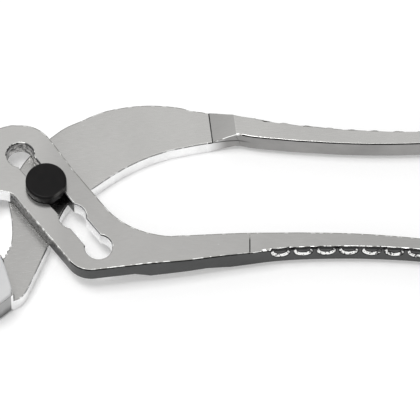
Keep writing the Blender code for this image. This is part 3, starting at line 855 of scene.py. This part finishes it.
def rear_finish(place, normal, is_edge, depth):
    """The finish of any face of the rear lever."""
    height = abs(normal.z)
    if is_edge:
        return rear_edge_finish(place, normal)
    if height > SLANTED:
        return "ramp" if height < FLAT and place.x < GRIP_ZONE else "face"
    if place.x < JAW_OUTSIDE and normal.y < -LEANING:
        return "jaw_skin"
    return "cut" if place.x < CUT_END else "skin"


dress_lever("rear_lever", "rear_lever_plate", "rear_half", 1, REAR_FINISHES, rear_finish)

# %% [markdown]
# ## The pivot bolt
#
# The bolt is turned steel with a black oxide finish. Its wide, flat head has a soft
# rounded rim, with a painted highlight on one side. Oxide is a coating with a weak
# shine, so it is shaded as a dark paint and not as bare metal.

# %% The black finish
OXIDE_DARK = (0.0040, 0.0038, 0.0040)
OXIDE_LIGHT = (0.0068, 0.0062, 0.0062)
RIM_HIGHLIGHT_GREY = (0.075, 0.073, 0.07)
HIGHLIGHT_SIDE = radians(-46)


def black_oxide(name, highlight_side=None):
    """Nearly matt black, with a painted highlight towards one side of the rim."""
    material, shader, place = new_finish(name, 0.42, 0.0)
    shader.inputs["Specular IOR Level"].default_value = 0.1
    cloud = noise(material, place, 220.0, detail=3.0)
    tone = ramp(material, cloud, [(0.3, OXIDE_DARK), (0.7, OXIDE_LIGHT)])
    # Painted highlight: a lighter patch on one side of the rim.
    if highlight_side is not None:
        across = stretched(material, place, (1, 1, 1), -highlight_side)
        side = by_place(material, across, "X", -10, 10, [(7.3, 0.0), (8.0, 1.0)])
        patches = ramp(material, noise(material, place, 260.0), [(0.38, 0.2), (0.6, 1.0)])
        highlit = multiplied(material, side, patches)
        tone = blend_colours(material, highlit, tone, RIM_HIGHLIGHT_GREY)
    paint(material, shader, tone)
    fine = noise(material, place, 3500.0, detail=1.0)
    raise_surface(material, shader, fine, 0.2, 0.02 * MM)
    return material


BLACK_OXIDE = black_oxide("bolt_black_oxide")
OXIDE_WITH_HIGHLIGHT = black_oxide("bolt_oxide_painted_highlight", HIGHLIGHT_SIDE)

# %% [markdown]
# ## Dressing the bolt
#
# The bolt was turned on a lathe, which leaves narrow round edges. All its sharp edges get
# the same rounding, since they lie far apart and no weights are needed. The rounded faces
# wear the finish with the painted highlight.

# %% The bolt
BOLT_ROUNDING = 0.38 * MM

bolt = copy_of("pivot_bolt", "pivot_bolt_turned")
bolt.data.materials.append(BLACK_OXIDE)
bolt.data.materials.append(OXIDE_WITH_HIGHLIGHT)
round_edges(bolt, BOLT_ROUNDING, edge_slot=1, chosen_by="ANGLE")
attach(bolt, "rear_half")
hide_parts("pivot_bolt")

# %% [markdown]
# ## Jaw shoes
#
# The shoes are moulded in a pale grey plastic with a fine matt grain. A little light goes
# into such plastic and comes out beside, which makes it look soft. Moulded parts never
# have sharp corners, so the edges of their two faces get a wide rounding. The groove that
# holds the jaw's plate keeps its sharp edges.

# %% The plastic and the two shoes
FINE_MERGE = 0.02 * MM
SHOE_ROUNDING = 0.8 * MM
SHOE_FACES = (0, 15.3 * MM)


def shoe_plastic():
    """Pale grey plastic with slow clouds and a fine grain."""
    material, shader, place = new_finish("shoe_pale_plastic", 0.42, 0.0)
    shader.inputs["Subsurface Weight"].default_value = 0.1
    shader.inputs["Subsurface Radius"].default_value = (0.002, 0.002, 0.002)
    shader.inputs["Subsurface Scale"].default_value = 0.5
    cloud = noise(material, place, 90.0, detail=3.0)
    paint(material, shader, ramp(material, cloud, [(0.3, (0.55, 0.555, 0.56)), (0.7, 0.60)]))
    raise_surface(material, shader, noise(material, place, 2600.0), 0.25, 0.03 * MM)
    return material


def shoe_edge_share(edge):
    """All of it for a sharp edge between points of the shoe's two faces."""
    is_outside = all(min(abs(end.co.z - face) for face in SHOE_FACES) < MERGE
                     for end in edge.verts)
    return 1 if is_outside and edge.calc_face_angle(0) > SHARP_TURN else 0


def dress_shoe(node, name, body, plastic):
    """A moulded shoe that rides on its jaw."""
    shoe = copy_of(node, name, merge=FINE_MERGE)
    shoe.data.materials.append(plastic)
    weigh_edges(shoe, shoe_edge_share)
    round_edges(shoe, SHOE_ROUNDING)
    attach(shoe, body)
    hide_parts(node)


PLASTIC = shoe_plastic()
dress_shoe("upper_jaw_shoe", "upper_jaw_shoe_moulded", "front_half", PLASTIC)
dress_shoe("lower_jaw_shoe", "lower_jaw_shoe_moulded", "rear_half", PLASTIC)

# %% [markdown]
# ## Small steel parts
#
# The spring washer, the nut and the four jaw screws are too small to gain from rounded
# edges, and they have the right shape already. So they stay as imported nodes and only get
# their finish: bright zinc, and black for the nut.

# %% Zinc and black for the small parts
def bright_zinc():
    """Zinc plating with slow light and dark clouds."""
    material, shader, place = new_finish("small_parts_bright_zinc", 0.3, 1.0)
    cloud = noise(material, place, 400.0, detail=3.0)
    tone = ramp(material, cloud, [(0.3, (0.42, 0.42, 0.43)), (0.7, (0.56, 0.56, 0.55))])
    paint(material, shader, tone)
    raise_surface(material, shader, cloud, 0.2, 0.02 * MM)
    return material


BRIGHT_ZINC = bright_zinc()
for node_name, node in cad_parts.items():
    if "screw" in node_name or "washer" in node_name or "nut" in node_name:
        finish = BLACK_OXIDE if "nut" in node_name else BRIGHT_ZINC
        for slot in node.material_slots:
            slot.material = finish
        print(node_name, "keeps its shape")

# %% [markdown]
# ## The table
#
# The tool lies on a white table under soft studio light. Even white paint returns only
# part of the light, and so it would come out pale grey. The table therefore adds a little
# white of its own where the camera or a reflection looks at it. More light would do it
# too, but it would burn out the steel. The tool's soft shadow still shows on it.

# %% The white table
TABLE_WHITE = (0.8, 0.8, 0.8, 1)
TABLE_GLOW = 0.24
TABLE_SIZE = 6
TABLE_PLACE = (0.06, 0, -0.02 * MM)


def looked_at(owner):
    """1 for rays that look at a surface, and 0 for rays that carry light to others."""
    path = add_node(owner, "ShaderNodeLightPath")
    rays = path.outputs["Is Camera Ray"]
    for kind in ("Is Glossy Ray", "Is Transmission Ray"):
        either = add_node(owner, "ShaderNodeMath", {0: rays, 1: path.outputs[kind]},
                          operation="MAXIMUM")
        rays = either.outputs[0]
    return rays


def white_table():
    """Matt white with a glow of its own where it is looked at."""
    material = bpy.data.materials.new("white_table")
    material.use_nodes = True
    shader = material.node_tree.nodes["Principled BSDF"]
    shader.inputs["Base Color"].default_value = TABLE_WHITE
    shader.inputs["Roughness"].default_value = 1.0
    shader.inputs["Specular IOR Level"].default_value = 0.0
    glow = add_node(material, "ShaderNodeMath", {0: looked_at(material), 1: TABLE_GLOW},
                    operation="MULTIPLY")
    shader.inputs["Emission Color"].default_value = (1, 1, 1, 1)
    join(material, glow.outputs[0], shader.inputs["Emission Strength"])
    return material


bpy.ops.object.select_all(action="DESELECT")
bpy.ops.mesh.primitive_plane_add(size=TABLE_SIZE, location=TABLE_PLACE)
table = bpy.context.object
table.name = "table_top"
table.data.materials.append(white_table())
print("the table is", TABLE_SIZE, "m wide")

# %% [markdown]
# ## Studio light
#
# The light is what a white tent gives: even light from all round, and one large soft lamp
# above for the shadow. The even light comes from the world, which looks pure white and
# shines with about half of that. A single strong lamp would leave hard shadows and turn
# the steel black and white.

# %% The white room and the lamp
SKY_LIGHT = 0.55
LAMP_SHARE = 0.55
LAMP_PLACE = Vector((-0.3, 0.0, 1.4))
LAMP_SIZE = 0.6


def studio_world():
    """An even white room that looks brighter than it shines."""
    world = bpy.data.worlds.new("studio")
    world.use_nodes = True
    background = world.node_tree.nodes["Background"]
    background.inputs["Color"].default_value = (1, 1, 1, 1)
    level = add_node(world, "ShaderNodeMapRange", {
        "Value": looked_at(world), "To Min": SKY_LIGHT, "To Max": 1.0})
    join(world, level.outputs["Result"], background.inputs["Strength"])
    bpy.context.scene.world = world


def soft_box(name, place, size, share):
    """A square lamp aimed at the tool that gives this share of the table's light."""
    lamp = bpy.data.lights.new(name, "AREA")
    lamp.size = size
    lamp.energy = share * pi ** 2 * place.length ** 2
    holder = bpy.data.objects.new(name, lamp)
    holder.location = place
    holder.rotation_euler = (-place).to_track_quat("-Z", "Y").to_euler()
    bpy.context.scene.collection.objects.link(holder)
    print(name, "gives", round(lamp.energy, 1), "W")


studio_world()
soft_box("soft_box_above", LAMP_PLACE, LAMP_SIZE, LAMP_SHARE)

# %% [markdown]
# ## Camera
#
# The picture looks at the tool from its lower side, tilted by 29 degrees from straight
# above. It shows 172 mm of the tool's length and crops both ends. The camera stands 3 m
# away with a long lens, because a near one would make the handles run together.

# %% The camera
VIEW_TARGET = Vector((67.2, -11.5, 15.2)) * MM
VIEW_TILT = radians(29)
VIEW_DISTANCE = 3.0
VIEW_WIDTH = 172 * MM

camera = bpy.data.cameras.new("camera")
camera.lens = camera.sensor_width * VIEW_DISTANCE / VIEW_WIDTH
stand = bpy.data.objects.new("camera", camera)
view_way = Vector((0, -sin(VIEW_TILT), cos(VIEW_TILT)))
stand.location = VIEW_TARGET + view_way * VIEW_DISTANCE
stand.rotation_euler = (VIEW_TILT, 0, 0)
bpy.context.scene.collection.objects.link(stand)
bpy.context.scene.camera = stand
bpy.context.scene.view_settings.view_transform = "Standard"
print("lens in mm:", round(camera.lens))
